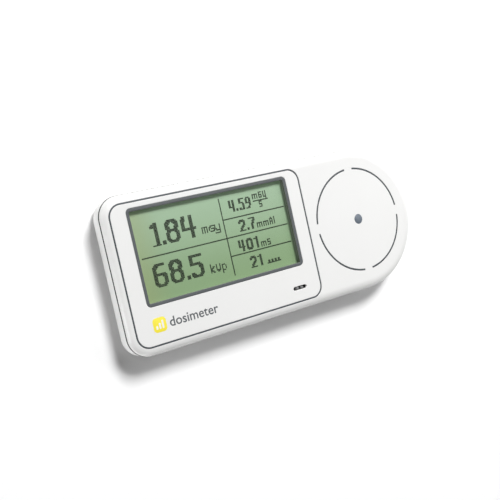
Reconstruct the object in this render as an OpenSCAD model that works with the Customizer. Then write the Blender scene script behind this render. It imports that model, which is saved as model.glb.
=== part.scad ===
// Slim handheld dose meter with a solid-state detector. Two thin plastic shells hold a display,
// a main board and a round detector board. It lies on its back on four feet: X runs along the
// body towards the detector end, Y across it, Z up out of the display.

/* [Body] */
// Length of the body
body_l = 132; // [132:0.5:134]
// Width of the body; the detector end is a half circle of this diameter
body_w = 55; // [54.5:0.5:57]
// Radius of the two square-end corners, seen from above
corner_r = 7.5; // [6.5:0.1:7.8]
// Wall thickness of both shells
wall = 1.4; // [1.2:0.1:1.5]
// How far the soft edge of the front reaches in from the side
front_round_w = 3.4; // [2.8:0.1:3.6]
// How far the soft edge of the front reaches down
front_round_h = 2.3; // [1.8:0.1:2.4]
// Radius of the rear edge
rear_round = 2; // [1.5:0.1:2.2]

/* [Front panel and window] */
// Length of the inset panel, to the middle of the line round it
panel_l = 77.5; // [76.5:0.5:78]
// Width of the inset panel, to the middle of the line round it
panel_w = 49; // [48.5:0.25:49.5]
// Corner radius of the inset panel
panel_r = 4.5; // [3.5:0.5:5]
// Width of the dark line round the panel
line_w = 0.6; // [0.4:0.05:0.7]
// Length of the window
window_l = 65.7; // [65:0.1:65.9]
// Width of the window
window_w = 34; // [33.5:0.1:34.2]
// Corner radius of the window
window_r = 1.7; // [1.4:0.1:2]
// Width of the dark frame in the window
frame_w = 1.2; // [1:0.1:1.4]

/* [Detector] */
// Radius of the printed ring
ring_r = 20; // [19:0.5:21]
// Line width of the printed ring
ring_line = 0.7; // [0.5:0.05:0.8]
// Width of the four gaps in the ring
ring_gap = 3.8; // [3:0.2:5]
// Radius of the centre mark
dot_r = 1.95; // [1.5:0.05:2.2]

/* [Sounder slot] */
// Length of the slot
slot_l = 6; // [5.5:0.1:6.5]
// Width of the slot
slot_w = 1.35; // [1.2:0.05:1.6]

/* [Button] */
// Length of the push button
button_l = 9; // [8:0.5:10]
// Height of the push button
button_h = 2.4; // [2.2:0.1:2.5]
// Travel of the push button
button_travel = 0.5; // [0.3:0.1:0.6]

/* [Battery] */
// Diameter of the coin cell
cell_d = 20; // [20:0.1:20.2]
// Thickness of the coin cell
cell_t = 3.2; // [3.1:0.05:3.2]
// Radius of the battery cap's flange
cap_r = 13.9; // [13.7:0.1:14.2]

/* [Hidden] */
$fn = 96;

// Small overshoot, so that a cut passes right through the face it leaves by
eps = 0.02;
// Steps along a rounded edge
edge_steps = 8;

// Heights, from the table up
back_z = 0.5;
floor_t = 1.2;
floor_z = back_z + floor_t;
seam_z = 6.6;
seal_t = 0.8;
seal_in = 0.1;
face_z = 10;
face_t = 1.6;
plate_z = face_z - face_t;
board_z = 5.15;
board_t = 0.8;
board_top = board_z + board_t;
boss_z = 4.9;

// Plan
left_x = -body_l / 2;
end_x = body_l / 2 - body_w / 2;
rim_w = 5;

// Front panel: its left edge line sits this far in from the end of the body
panel_inset = 2.6;
panel_x = left_x + panel_inset + panel_l / 2;
panel_t = 1;
panel_drop = 0.1;
seal_drop = 0.2;

// Window and the display behind it
window_x = -24.52;
window_y = 5.48;
frame_top = 9.9;
lens_z = 9.1;
lens_t = 0.6;
lens_gap = 0.02;
lcd_top = 8;
polariser_t = 0.15;
glass_t = 0.6;
lcd_border = 0.6;
ledge_w = 1.6;
holder_w = 0.8;
holder_top = 7.9;
flex_l = 34;
flex_t = 0.15;
flex_out = 1.9;
flex_foot = 1.6;
ledge_y = window_y - window_w / 2 - lcd_border - ledge_w;

// Printed marks are this deep
ink_t = 0.12;

// Sounder slot in the panel, and the sounder under it
slot_x = 4.5;
slot_y = -19.43;
sounder_r = 4.4;
sounder_h = 2;

// Push button in the side wall
button_x = -38;
button_z = 3.65;
button_gap = 0.1;
button_flush = 0.05;
flange_t = 0.8;
plunger_r = 0.7;
plunger_in = 2.3;
plunger_held = 0.3;
plunger_room = 0.6;
switch_size = [6, 3.8, 2.5];

// Coin cell and its twist cap
cell_x = -20;
cell_z = floor_z + 0.05;
cap_gap = 0.1;
flange_h = 0.6;
neck_r = 11.9;
cup_t = 0.9;
lug_r = 13.4;
lug_h = 0.6;
lug_arc = 24;
lug_turn = 60;

// Detector: four diodes on a square grid
diode_pitch = 7;
diode_size = 4.4;
diode_t = 1;
filter_t = [0.1, 0.2, 0.35, 0.5];

// Fixings
shell_screw_at = [[-61.25, 22.5], [-61.25, -22.5], [15.5, 23.2], [15.5, -23.2], [62, 0]];
board_screw_at = [[-55, -19.5], [-8, -20.5], [12.4, 8], [26, 18.5], [26, -18.5], [55.5, 0]];
boss_r = 2.2;
insert_r = 1.6;
insert_h = 2.9;
screw_r = 1;
screw_top = 7.6;
post_r = 1.8;
foot_at = [[-53.5, 19.5], [-53.5, -19.5], [44, 17.5], [44, -17.5]];
foot_r = 3.2;
foot_sunk = 0.3;
label_l = 34;
label_w = 18;
label_t = 0.12;
label_x = 22;

// A rectangle with round corners, centred
module round_rect(l, w, r) {
    square([l - 2 * r, w], center = true);
    square([l, w - 2 * r], center = true);
    for (sx = [-1, 1], sy = [-1, 1])
        translate([sx * (l / 2 - r), sy * (w / 2 - r)])
            circle(r);
}

// The body's outline seen from above, moved in by inset
module outline(inset) {
    r = corner_r - inset;
    half = body_w / 2 - inset;
    translate([left_x + inset + r, -half])
        square([end_x - left_x - inset - r, 2 * half]);
    translate([left_x + inset, r - half])
        square([corner_r + 1, 2 * (half - r)]);
    for (s = [-1, 1])
        translate([left_x + inset + r, s * (half - r)])
            circle(r);
    translate([end_x, 0])
        circle(half);
}

// Sweeps a rim section round the body: the section's x is the distance in from the outline
module rim_sweep() {
    run = end_x - left_x - corner_r;
    translate([end_x, 0, 0])
        rotate([0, 0, -90])
            rotate_extrude(angle = 180)
                translate([body_w / 2, 0])
                    mirror([1, 0])
                        children();
    for (s = [0, 1])
        mirror([0, s, 0]) {
            translate([left_x + corner_r, -body_w / 2, 0])
                rotate([90, 0, 90])
                    linear_extrude(run)
                        children();
            translate([left_x + corner_r, corner_r - body_w / 2, 0])
                rotate([0, 0, 180])
                    rotate_extrude(angle = 90)
                        translate([corner_r, 0])
                            mirror([1, 0])
                                children();
        }
    translate([left_x, body_w / 2 - corner_r, 0])
        rotate([90, 0, 0])
            linear_extrude(body_w - 2 * corner_r)
                children();
}

// A flat bar with round ends, lying along X
module stadium(l, w) {
    square([l - w, w], center = true);
    for (s = [-1, 1])
        translate([s * (l - w) / 2, 0])
            circle(w / 2);
}

// A sector of a flat ring, centred on +X
module arc_bar(r_in, r_out, angle, h) {
    rotate([0, 0, -angle / 2])
        rotate_extrude(angle = angle)
            translate([r_in, 0])
                square([r_out - r_in, h]);
}

// A flat chip with its legs' outline as one solid, hung under a board
module chip_under(at, size) {
    translate([at[0], at[1], board_z - size[2] / 2])
        cube(size, center = true);
}

// The window's outline, moved in by inset
module window_shape(inset) {
    translate([window_x, window_y])
        round_rect(window_l - 2 * inset, window_w - 2 * inset, window_r - inset);
}

// Lower half of the case: a shallow tray with a stepped hole for the battery cap
module rear_shell() {
    outer = [for (i = [0 : edge_steps]) let (a = 90 * i / edge_steps)
        [rear_round * (1 - sin(a)), back_z + rear_round * (1 - cos(a))]];
    color("gainsboro") difference() {
        union() {
            rim_sweep()
                polygon(concat(outer, [[0, seam_z], [wall, seam_z], [wall, floor_z], [rim_w, floor_z],
                    [rim_w, back_z]]));
            translate([0, 0, back_z])
                linear_extrude(floor_t)
                    outline(rim_w);
            for (p = shell_screw_at)
                translate([p[0], p[1], floor_z - eps])
                    cylinder(r = boss_r, h = boss_z - floor_z + eps);
            for (p = board_screw_at)
                translate([p[0], p[1], floor_z - eps])
                    cylinder(r = post_r, h = board_z - floor_z + eps);
        }
        for (p = shell_screw_at)
            translate([p[0], p[1], back_z - eps]) {
                cylinder(r = screw_r + 0.1, h = face_z);
                cylinder(r1 = 2.1, r2 = screw_r + 0.1, h = 1.1);
            }
        for (p = board_screw_at)
            translate([p[0], p[1], board_z - 2.6])
                cylinder(r = 0.75, h = 2.6 + eps);
        for (p = foot_at)
            translate([p[0], p[1], back_z - eps])
                cylinder(r = foot_r, h = foot_sunk + eps);
        translate([label_x, 0, back_z - eps])
            linear_extrude(label_t + eps)
                round_rect(label_l, label_w, 1.5);
        cap_hole();
        translate([button_x, body_w / 2 + 1, button_z])
            rotate([90, 0, 0])
                linear_extrude(wall + 2)
                    stadium(button_l + 2 * button_gap, button_h + 2 * button_gap);
    }
}

// Stepped hole for the battery cap, with two notches that let its lugs in
module cap_hole() {
    translate([cell_x, 0, back_z - eps])
        cylinder(r = cap_r + cap_gap, h = flange_h + eps);
    translate([cell_x, 0, back_z])
        cylinder(r = neck_r + cap_gap, h = floor_t + eps);
    for (turn = [lug_turn, lug_turn + 180])
        translate([cell_x, 0, back_z + flange_h - eps])
            rotate([0, 0, -turn])
                arc_bar(neck_r - 1, lug_r + 0.3, lug_arc + 6, floor_t);
}

// Upper half of the case: the soft-edged face, with a pocket for the panel
module front_shell() {
    outer = [for (i = [0 : edge_steps]) let (a = 90 * i / edge_steps)
        [front_round_w * (1 - cos(a)), face_z - front_round_h * (1 - sin(a))]];
    color("whitesmoke") difference() {
        union() {
            rim_sweep()
                polygon(concat([[0, seam_z + seal_t]], outer, [[rim_w, face_z], [rim_w, plate_z],
                    [wall, plate_z], [wall, seam_z + seal_t]]));
            translate([0, 0, plate_z])
                linear_extrude(face_t)
                    outline(rim_w);
            for (p = shell_screw_at)
                translate([p[0], p[1], boss_z])
                    cylinder(r = boss_r, h = plate_z - boss_z + eps);
        }
        for (p = shell_screw_at)
            translate([p[0], p[1], boss_z - eps])
                cylinder(r = insert_r, h = insert_h + eps);
        translate([panel_x, 0, face_z - panel_t])
            linear_extrude(panel_t + eps)
                round_rect(panel_l + line_w, panel_w + line_w, panel_r + line_w / 2);
        translate([0, 0, plate_z - eps])
            linear_extrude(face_t)
                window_shape(0);
        translate([slot_x, slot_y, plate_z - eps])
            linear_extrude(face_t)
                stadium(slot_l + 1, slot_w + 1);
        translate([0, 0, eps]) {
            ring_arcs();
            centre_mark();
        }
        ring_arcs();
        centre_mark();
    }
}

// The four arcs of the detector ring
module ring_arcs() {
    gap_angle = 2 * asin(ring_gap / 2 / ring_r);
    for (quarter = [45 : 90 : 315])
        translate([end_x, 0, face_z - ink_t])
            rotate([0, 0, quarter])
                arc_bar(ring_r - ring_line / 2, ring_r + ring_line / 2, 90 - gap_angle, ink_t);
}

// The round mark over the middle of the detector
module centre_mark() {
    translate([end_x, 0, face_z - ink_t])
        cylinder(r = dot_r, h = ink_t);
}

// Dark gasket that shows as the line between the shells
module shell_seal() {
    color("dimgray")
        rim_sweep()
            translate([seal_in, seam_z])
                square([wall - seal_in - 0.15, seal_t]);
}

// Inset face plate with holes for the window and the sounder slot
module front_panel() {
    color("whitesmoke")
        translate([0, 0, face_z - panel_t])
            linear_extrude(panel_t - panel_drop)
                difference() {
                    translate([panel_x, 0])
                        round_rect(panel_l - line_w, panel_w - line_w, panel_r - line_w / 2);
                    window_shape(0);
                    translate([slot_x, slot_y])
                        stadium(slot_l, slot_w);
                }
}

// Dark line of sealant between the panel and the front shell
module panel_seal() {
    color("dimgray")
        translate([panel_x, 0, face_z - panel_t])
            linear_extrude(panel_t - seal_drop)
                difference() {
                    round_rect(panel_l + line_w, panel_w + line_w, panel_r + line_w / 2);
                    round_rect(panel_l - line_w, panel_w - line_w, panel_r - line_w / 2);
                }
}

// Dark frame that lines the window down to the display
module window_frame() {
    color("slategray")
        translate([0, 0, lcd_top])
            linear_extrude(frame_top - lcd_top)
                difference() {
                    window_shape(0);
                    window_shape(frame_w);
                }
}

// Clear window held inside the frame
module window_lens() {
    color("lightcyan", 0.4)
        translate([0, 0, lens_z])
            linear_extrude(lens_t)
                window_shape(frame_w + lens_gap);
}

// Printed ring, set flush into the front shell
module target_ring() {
    color("dimgray") ring_arcs();
}

// Printed centre mark, set flush into the front shell
module target_dot() {
    color("dimgray") centre_mark();
}

// Plate behind the slot with two ribs that stand up into it
module sounder_grille() {
    color("darkgray")
        translate([slot_x, slot_y, 0]) {
            translate([0, 0, plate_z])
                linear_extrude(face_z - panel_t - plate_z)
                    difference() {
                        stadium(slot_l + 0.8, slot_w + 0.8);
                        for (sx = [-1, 0, 1])
                            translate([sx * slot_l / 3, 0])
                                circle(0.35);
                    }
            for (sx = [-1, 1])
                translate([sx * slot_l / 6, 0, face_z - panel_t])
                    cylinder(r = slot_w / 2 - 0.1, h = panel_t - 0.4);
        }
}

// Film on the front of the display
module lcd_polariser() {
    color("darkseagreen")
        translate([window_x, window_y, lcd_top - polariser_t])
            linear_extrude(polariser_t)
                square([window_l + lcd_border, window_w + lcd_border], center = true);
}

// Front glass of the display; it stops short of the contact ledge
module lcd_front_glass() {
    color("darkseagreen")
        translate([window_x, window_y, lcd_top - polariser_t - glass_t])
            linear_extrude(glass_t)
                square([window_l, window_w] + 2 * lcd_border * [1, 1], center = true);
}

// Rear glass of the display with the contact ledge along its lower side
module lcd_rear_glass() {
    color("darkseagreen")
        translate([window_x, window_y - ledge_w / 2, lcd_top - polariser_t - 2 * glass_t])
            linear_extrude(glass_t)
                square([window_l, window_w + ledge_w] + 2 * lcd_border * [1, 1], center = true);
}

// Light guide under the display, resting on the main board
module lcd_backlight() {
    color("honeydew")
        translate([window_x, window_y - ledge_w / 2, board_top])
            linear_extrude(lcd_top - polariser_t - 2 * glass_t - board_top)
                square([window_l, window_w + ledge_w] + 2 * lcd_border * [1, 1], center = true);
}

// Frame that holds the display's layers together on the board
module lcd_holder() {
    clear = 0.05;
    inner = [window_l, window_w + ledge_w] + (2 * lcd_border + clear) * [1, 1];
    color("white")
        translate([window_x, window_y - ledge_w / 2, board_top])
            difference() {
                linear_extrude(holder_top - board_top)
                    difference() {
                        square(inner + 2 * holder_w * [1, 1], center = true);
                        square(inner, center = true);
                    }
                translate([-flex_l / 2 - 0.5, -inner[1] / 2 - holder_w - 1, -eps])
                    cube([flex_l + 1, holder_w + 1.5, 5]);
            }
}

// Flat cable bent from the display's contact ledge down to its connector
module lcd_flat_cable() {
    ledge_z = lcd_top - polariser_t - glass_t;
    foot_z = board_top + flex_t;
    color("peru")
        translate([window_x - flex_l / 2, 0, 0])
            rotate([90, 0, 90])
                linear_extrude(flex_l) {
                    translate([ledge_y - flex_out, ledge_z])
                        square([flex_out + ledge_w - 0.3, flex_t]);
                    translate([ledge_y - flex_out, foot_z])
                        square([flex_t, ledge_z - foot_z + flex_t]);
                    translate([ledge_y - flex_out - flex_foot, foot_z])
                        square([flex_foot + flex_t, flex_t]);
                }
}

// Socket on the main board that takes the flat cable
module display_connector() {
    size = [flex_l + 3, 3, 1];
    color("ivory")
        translate([window_x, ledge_y - flex_out - size[1] / 2 - 0.1, board_top + size[2] / 2])
            difference() {
                cube(size, center = true);
                translate([0, size[1] / 2, flex_t * 1.5 - size[2] / 2])
                    cube([flex_l + 0.1, 2 * flex_foot, flex_t + eps], center = true);
            }
}

// Main circuit board, cut round the screw bosses
module main_board() {
    color("seagreen")
        translate([0, 0, board_z])
            difference() {
                linear_extrude(board_t)
                    difference() {
                        intersection() {
                            outline(wall + 0.5);
                            translate([left_x, -body_w / 2])
                                square([18.5 - left_x, body_w]);
                        }
                        for (p = shell_screw_at)
                            translate(p)
                                circle(boss_r + 0.4);
                    }
                for (p = board_screw_at)
                    translate([p[0], p[1], -eps])
                        cylinder(r = 0.9, h = board_t + 2 * eps);
            }
}

// Square processor under the main board
module microcontroller() {
    color("dimgray") difference() {
        chip_under([-46, 3], [10, 10, 1.3]);
        translate([-49.6, 6.6, board_z - 1.3 - eps])
            cylinder(r = 0.5, h = 0.1 + eps);
    }
}

// Memory chip beside the processor
module memory_chip() {
    color("dimgray") chip_under([-46, -9.5], [5, 6, 1.2]);
}

// Regulator that feeds the boards from the cell
module voltage_regulator() {
    color("dimgray") chip_under([3, 12], [3, 3, 1.1]);
}

// Quartz crystal in a round-ended can
module quartz_crystal() {
    color("silver")
        translate([-38, -9.5, board_z - 1.8])
            rotate([0, 0, 90])
                linear_extrude(1.8)
                    stadium(7, 3);
}

// Chip capacitors round the processor and the regulator
module capacitors() {
    color("tan")
        for (p = [[-53, 9], [-53, 4], [-53, -1], [-53, -6], [-3, 15], [-3, 10], [8, 15], [8, 10]])
            chip_under(p, [1.2, 2, 1]);
}

// Chip resistors in two rows
module resistors() {
    color("black")
        for (x = [-2 : 2.2 : 11.2], y = [-6, -9])
            chip_under([x, y], [1, 1.6, 0.5]);
}

// Small screws that hold both boards to the posts of the rear shell
module board_screws() {
    color("silver")
        for (p = board_screw_at)
            translate([p[0], p[1], 0])
                difference() {
                    union() {
                        translate([0, 0, board_top])
                            cylinder(r = 1.4, h = 0.7);
                        translate([0, 0, board_z - 2.4])
                            cylinder(r = 0.7, h = 2.4 + board_t + eps);
                    }
                    translate([-2, -0.2, board_top + 0.4])
                        cube([4, 0.4, 1]);
                }
}

// Round sounder under the slot
module sounder() {
    color("black")
        translate([slot_x, slot_y, board_top])
            difference() {
                cylinder(r = sounder_r, h = sounder_h);
                translate([0, 0, 0.7])
                    cylinder(r = 1, h = sounder_h);
            }
}

// Foam ring that seals the sounder to the face
module sounder_gasket() {
    color("darkslategray")
        translate([slot_x, slot_y, board_top + sounder_h])
            difference() {
                cylinder(r = sounder_r - 0.2, h = plate_z - board_top - sounder_h);
                translate([0, 0, -eps])
                    cylinder(r = slot_l / 2 + 0.6, h = 2);
            }
}

// Side-pressed switch under the main board, bored for its plunger
module power_switch() {
    front_y = body_w / 2 - wall - flange_t - plunger_in + plunger_held;
    color("darkslategray")
        difference() {
            translate([button_x, front_y - switch_size[1] / 2, board_z - switch_size[2] / 2])
                cube(switch_size, center = true);
            translate([button_x, front_y + eps, button_z])
                rotate([90, 0, 0])
                    cylinder(r = plunger_r + 0.06, h = plunger_held + button_travel + plunger_room);
        }
}

// Push button: a round-ended cap with a flange that keeps it in the wall
module power_button() {
    flange_y = body_w / 2 - wall - 0.05;
    color("dimgray") {
        translate([button_x, body_w / 2 - button_flush, button_z])
            rotate([90, 0, 0])
                linear_extrude(wall - button_flush + 0.1)
                    stadium(button_l, button_h);
        translate([button_x, flange_y - flange_t / 2, button_z])
            cube([button_l + 2, flange_t, button_h + 0.5], center = true);
    }
}

// Pin that carries the button's push into the switch
module switch_plunger() {
    color("ivory")
        translate([button_x, body_w / 2 - wall - 0.05 - flange_t, button_z])
            rotate([90, 0, 0])
                cylinder(r = plunger_r, h = plunger_in);
}

// Coin cell, its rim stepped in on the lower face
module coin_cell() {
    color("silver")
        translate([cell_x, 0, cell_z]) {
            cylinder(r = cell_d / 2 - 1.2, h = 0.3 + eps);
            translate([0, 0, 0.3])
                cylinder(r = cell_d / 2, h = cell_t - 0.3);
        }
}

// Ring under the board that the cell snaps into, split for the positive contact
module cell_holder() {
    z = floor_z + lug_h + 0.3;
    color("black")
        translate([cell_x, 0, z])
            difference() {
                cylinder(r = cell_d / 2 + 2.2, h = board_z - z);
                translate([0, 0, -eps])
                    cylinder(r = cell_d / 2 + 0.15, h = 5);
                translate([0, -3, -eps])
                    cube([20, 6, 5]);
            }
}

// Sprung tab against the rim of the cell
module positive_contact() {
    color("gold") {
        translate([cell_x + cell_d / 2 + 0.02, -2.5, floor_z + 1.2])
            cube([0.25, 5, board_z - floor_z - 1.2]);
        translate([cell_x + cell_d / 2 + 0.02, -2.5, board_z - 0.15])
            cube([4, 5, 0.15]);
    }
}

// Flat tab between the cell and the board
module negative_contact() {
    color("gold")
        translate([cell_x, 0, cell_z + cell_t])
            linear_extrude(board_z - cell_z - cell_t)
                stadium(12, 4);
}

// Round cap turned with a coin: a flange, a neck, a low cup wall and two lugs
module battery_cap() {
    color("gainsboro")
        translate([cell_x, 0, 0])
            difference() {
                union() {
                    translate([0, 0, back_z + 0.05])
                        cylinder(r = cap_r, h = flange_h - 0.05);
                    translate([0, 0, back_z + flange_h - eps])
                        cylinder(r = neck_r, h = floor_t - flange_h + 0.05 + lug_h + eps);
                    for (turn = [0, 180])
                        translate([0, 0, floor_z + 0.05])
                            rotate([0, 0, turn])
                                arc_bar(neck_r - cup_t / 2, lug_r, lug_arc, lug_h);
                }
                translate([0, 0, floor_z])
                    cylinder(r = neck_r - cup_t, h = 2);
                translate([0, 0, back_z - eps])
                    linear_extrude(0.5)
                        stadium(15, 1.8);
            }
}

// Plug and socket pair that bridges the two boards
module board_connector() {
    color("ivory")
        translate([19.5, 0, board_z - 0.6])
            cube([7, 15, 1.2], center = true);
}

// Round detector board, cut off towards the main board
module detector_board() {
    color("seagreen")
        translate([0, 0, board_z])
            difference() {
                linear_extrude(board_t)
                    difference() {
                        intersection() {
                            translate([end_x, 0])
                                circle(24.5);
                            translate([20.5, -body_w / 2])
                                square([body_w, body_w]);
                        }
                        translate(shell_screw_at[4])
                            circle(boss_r + 0.4);
                    }
                for (p = board_screw_at)
                    translate([p[0], p[1], -eps])
                        cylinder(r = 0.9, h = board_t + 2 * eps);
            }
}

// Four square diodes that sense the radiation
module detector_diodes() {
    color("navy") at_each_diode()
        translate([0, 0, board_top + diode_t / 2])
            cube([diode_size, diode_size, diode_t], center = true);
}

// Four metal filters of different thickness, one on each diode
module detector_filters() {
    color("sandybrown")
        for (i = [0 : 3])
            translate([end_x + diode_pitch / 2 * (i % 2 * 2 - 1), diode_pitch / 2 * (floor(i / 2) * 2 - 1),
                board_top + diode_t + filter_t[i] / 2])
                cube([diode_size, diode_size, filter_t[i]], center = true);
}

// Puts its children at the four places of the diode grid
module at_each_diode() {
    for (sx = [-1, 1], sy = [-1, 1])
        translate([end_x + sx * diode_pitch / 2, sy * diode_pitch / 2, 0])
            children();
}

// Metal block with four square windows that keeps the diodes apart
module detector_frame() {
    side = 2 * diode_pitch + 3;
    color("gray") difference() {
        translate([end_x, 0, board_top + 1.1])
            cube([side, side, 2.2], center = true);
        at_each_diode()
            translate([0, 0, board_top + 1])
                cube([diode_size + 0.4, diode_size + 0.4, 4], center = true);
    }
}

// Light-tight foil on the inside of the face, over the detector
module light_shield() {
    color("black")
        translate([end_x, 0, plate_z - 0.1])
            cylinder(r = 13, h = 0.1);
}

// Heavy plate that stops radiation scattered back from behind
module backscatter_shield() {
    color("lightslategray")
        translate([end_x, 0, board_z - 1])
            cylinder(r = 12.5, h = 1);
}

// Amplifier chips round the shield, one for each diode
module charge_amplifiers() {
    color("dimgray")
        for (sx = [-1, 1], sy = [-1, 1])
            chip_under([end_x + 3 + sx * 6, sy * 17], [5, 4, 1.3]);
}

// Countersunk screws that hold the shells together, driven from the back
module shell_screws() {
    color("silver")
        for (p = shell_screw_at)
            translate([p[0], p[1], 0])
                difference() {
                    union() {
                        translate([0, 0, back_z + 0.1])
                            cylinder(r1 = 1.9, r2 = screw_r, h = 0.95);
                        translate([0, 0, back_z + 0.2])
                            cylinder(r = screw_r, h = screw_top - back_z - 0.2);
                    }
                    for (turn = [0, 90])
                        translate([0, 0, back_z + 0.1])
                            rotate([0, 0, turn])
                                cube([2.2, 0.4, 0.9], center = true);
                }
}

// Threaded brass sleeves in the bosses of the front shell
module screw_inserts() {
    color("goldenrod")
        for (p = shell_screw_at)
            translate([p[0], p[1], boss_z + 0.1])
                difference() {
                    cylinder(r = insert_r - 0.01, h = insert_h - 0.15);
                    translate([0, 0, -eps])
                        cylinder(r = screw_r + 0.04, h = insert_h + 1);
                }
}

// Four round feet, let into the back
module rubber_feet() {
    color("darkslategray")
        for (p = foot_at)
            translate([p[0], p[1], 0])
                cylinder(r = foot_r - 0.05, h = back_z + foot_sunk);
}

// Blank label let into the back
module rear_label() {
    color("silver")
        translate([label_x, 0, back_z])
            linear_extrude(label_t)
                round_rect(label_l - 0.1, label_w - 0.1, 1.45);
}

rear_shell();
front_shell();
shell_seal();
front_panel();
panel_seal();
window_frame();
window_lens();
target_ring();
target_dot();
sounder_grille();
lcd_polariser();
lcd_front_glass();
lcd_rear_glass();
lcd_backlight();
lcd_holder();
lcd_flat_cable();
display_connector();
main_board();
microcontroller();
memory_chip();
voltage_regulator();
quartz_crystal();
capacitors();
resistors();
board_screws();
sounder();
sounder_gasket();
power_switch();
power_button();
switch_plunger();
coin_cell();
cell_holder();
positive_contact();
negative_contact();
battery_cap();
board_connector();
detector_board();
detector_diodes();
detector_filters();
detector_frame();
light_shield();
backscatter_shield();
charge_amplifiers();
shell_screws();
screw_inserts();
rubber_feet();
rear_label();
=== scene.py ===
from math import degrees, radians

import bpy
import numpy as np
from mathutils import Euler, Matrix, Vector


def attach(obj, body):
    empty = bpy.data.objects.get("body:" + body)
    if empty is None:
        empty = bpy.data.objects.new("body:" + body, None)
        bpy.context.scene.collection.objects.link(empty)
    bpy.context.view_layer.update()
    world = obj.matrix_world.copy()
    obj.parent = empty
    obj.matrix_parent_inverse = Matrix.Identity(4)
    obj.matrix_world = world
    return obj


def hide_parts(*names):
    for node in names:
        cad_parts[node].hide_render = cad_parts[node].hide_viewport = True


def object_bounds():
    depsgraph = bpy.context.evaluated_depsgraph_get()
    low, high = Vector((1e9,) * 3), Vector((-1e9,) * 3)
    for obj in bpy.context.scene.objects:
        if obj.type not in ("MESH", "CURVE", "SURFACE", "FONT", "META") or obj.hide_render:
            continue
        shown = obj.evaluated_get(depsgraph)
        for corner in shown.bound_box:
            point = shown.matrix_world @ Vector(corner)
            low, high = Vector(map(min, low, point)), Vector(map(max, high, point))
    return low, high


# A slim handheld dose meter, lying on its back. Lengths are written in millimetres and turned into
# metres as each mesh is made. X runs towards the detector end, Y across the body, Z out of the face.
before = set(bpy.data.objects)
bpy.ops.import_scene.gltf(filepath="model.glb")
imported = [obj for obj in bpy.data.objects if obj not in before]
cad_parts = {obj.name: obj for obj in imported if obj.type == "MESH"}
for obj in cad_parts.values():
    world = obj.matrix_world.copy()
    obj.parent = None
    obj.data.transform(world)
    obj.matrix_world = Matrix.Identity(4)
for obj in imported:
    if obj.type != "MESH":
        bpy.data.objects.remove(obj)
cad_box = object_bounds()
mm = 0.001


# ---------------------------------------------------------------- camera, floor and light
# A longish lens looks down on the face from beyond the square end. The floor is a plain white sheet.
# The main soft box is up beyond the button side, a second is past the round end, and two low ones
# fill the square end and the front.

camera = bpy.data.objects.new("camera", bpy.data.cameras.new("camera"))
camera.data.lens = 58.87
camera.data.sensor_width = 36.0
camera.data.clip_start = 0.01
camera.location = Vector((-166.573, 15.696, 261.573)) * mm
camera.rotation_euler = Euler((radians(4.4258), radians(-31.2079), radians(-14.7518)), "XYZ")
bpy.context.scene.collection.objects.link(camera)
bpy.context.scene.camera = camera
bpy.context.scene.view_settings.view_transform = "Standard"


def soft_box(name, at, size, watts, aim=(0.0, 0.0, 0.005)):
    """A square area light at a place, turned to face a point on the object."""
    lamp = bpy.data.objects.new(name, bpy.data.lights.new(name, "AREA"))
    lamp.data.size = size
    lamp.data.energy = watts
    lamp.location = at
    lamp.rotation_euler = (Vector(aim) - Vector(at)).to_track_quat("-Z", "Y").to_euler()
    bpy.context.scene.collection.objects.link(lamp)
    return lamp


soft_box("key_light", (0.40, 0.95, 1.06), 0.50, 29.0)
soft_box("side_light", (1.05, 0.20, 0.75), 0.50, 4.5)
soft_box("fill_light", (-0.78, -0.14, 0.09), 0.16, 2.9)
soft_box("front_card", (-0.10, -0.86, 0.07), 0.13, 2.0)

world = bpy.data.worlds.new("room")
world.use_nodes = True
world.node_tree.nodes["Background"].inputs["Color"].default_value = (1.0, 1.0, 1.0, 1.0)
world.node_tree.nodes["Background"].inputs["Strength"].default_value = 0.03
bpy.context.scene.world = world


class Wire:
    """One output of a material's nodes. Arithmetic on wires adds Math nodes, so 1 - mask is a wire too."""

    def __init__(self, finish, socket):
        self.finish, self.socket = finish, socket

    def math(self, operation, *others):
        return self.finish.node("ShaderNodeMath", {"operation": operation},
                                {0: self, **dict(enumerate(others, 1))})

    def __add__(self, other):
        return self.math("ADD", other)

    def __sub__(self, other):
        return self.math("SUBTRACT", other)

    def __mul__(self, other):
        return self.math("MULTIPLY", other)

    def __truediv__(self, other):
        return self.math("DIVIDE", other)

    def __rsub__(self, other):
        return self.finish.node("ShaderNodeMath", {"operation": "SUBTRACT"}, {0: other, 1: self})

    __radd__, __rmul__ = __add__, __mul__

    def step(self, low, high):
        """0 below low, 1 above high and a smooth rise between."""
        return self.finish.node(
            "ShaderNodeMapRange", {"interpolation_type": "SMOOTHSTEP"},
            {"Value": self, "From Min": low, "From Max": high}
        )


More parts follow.
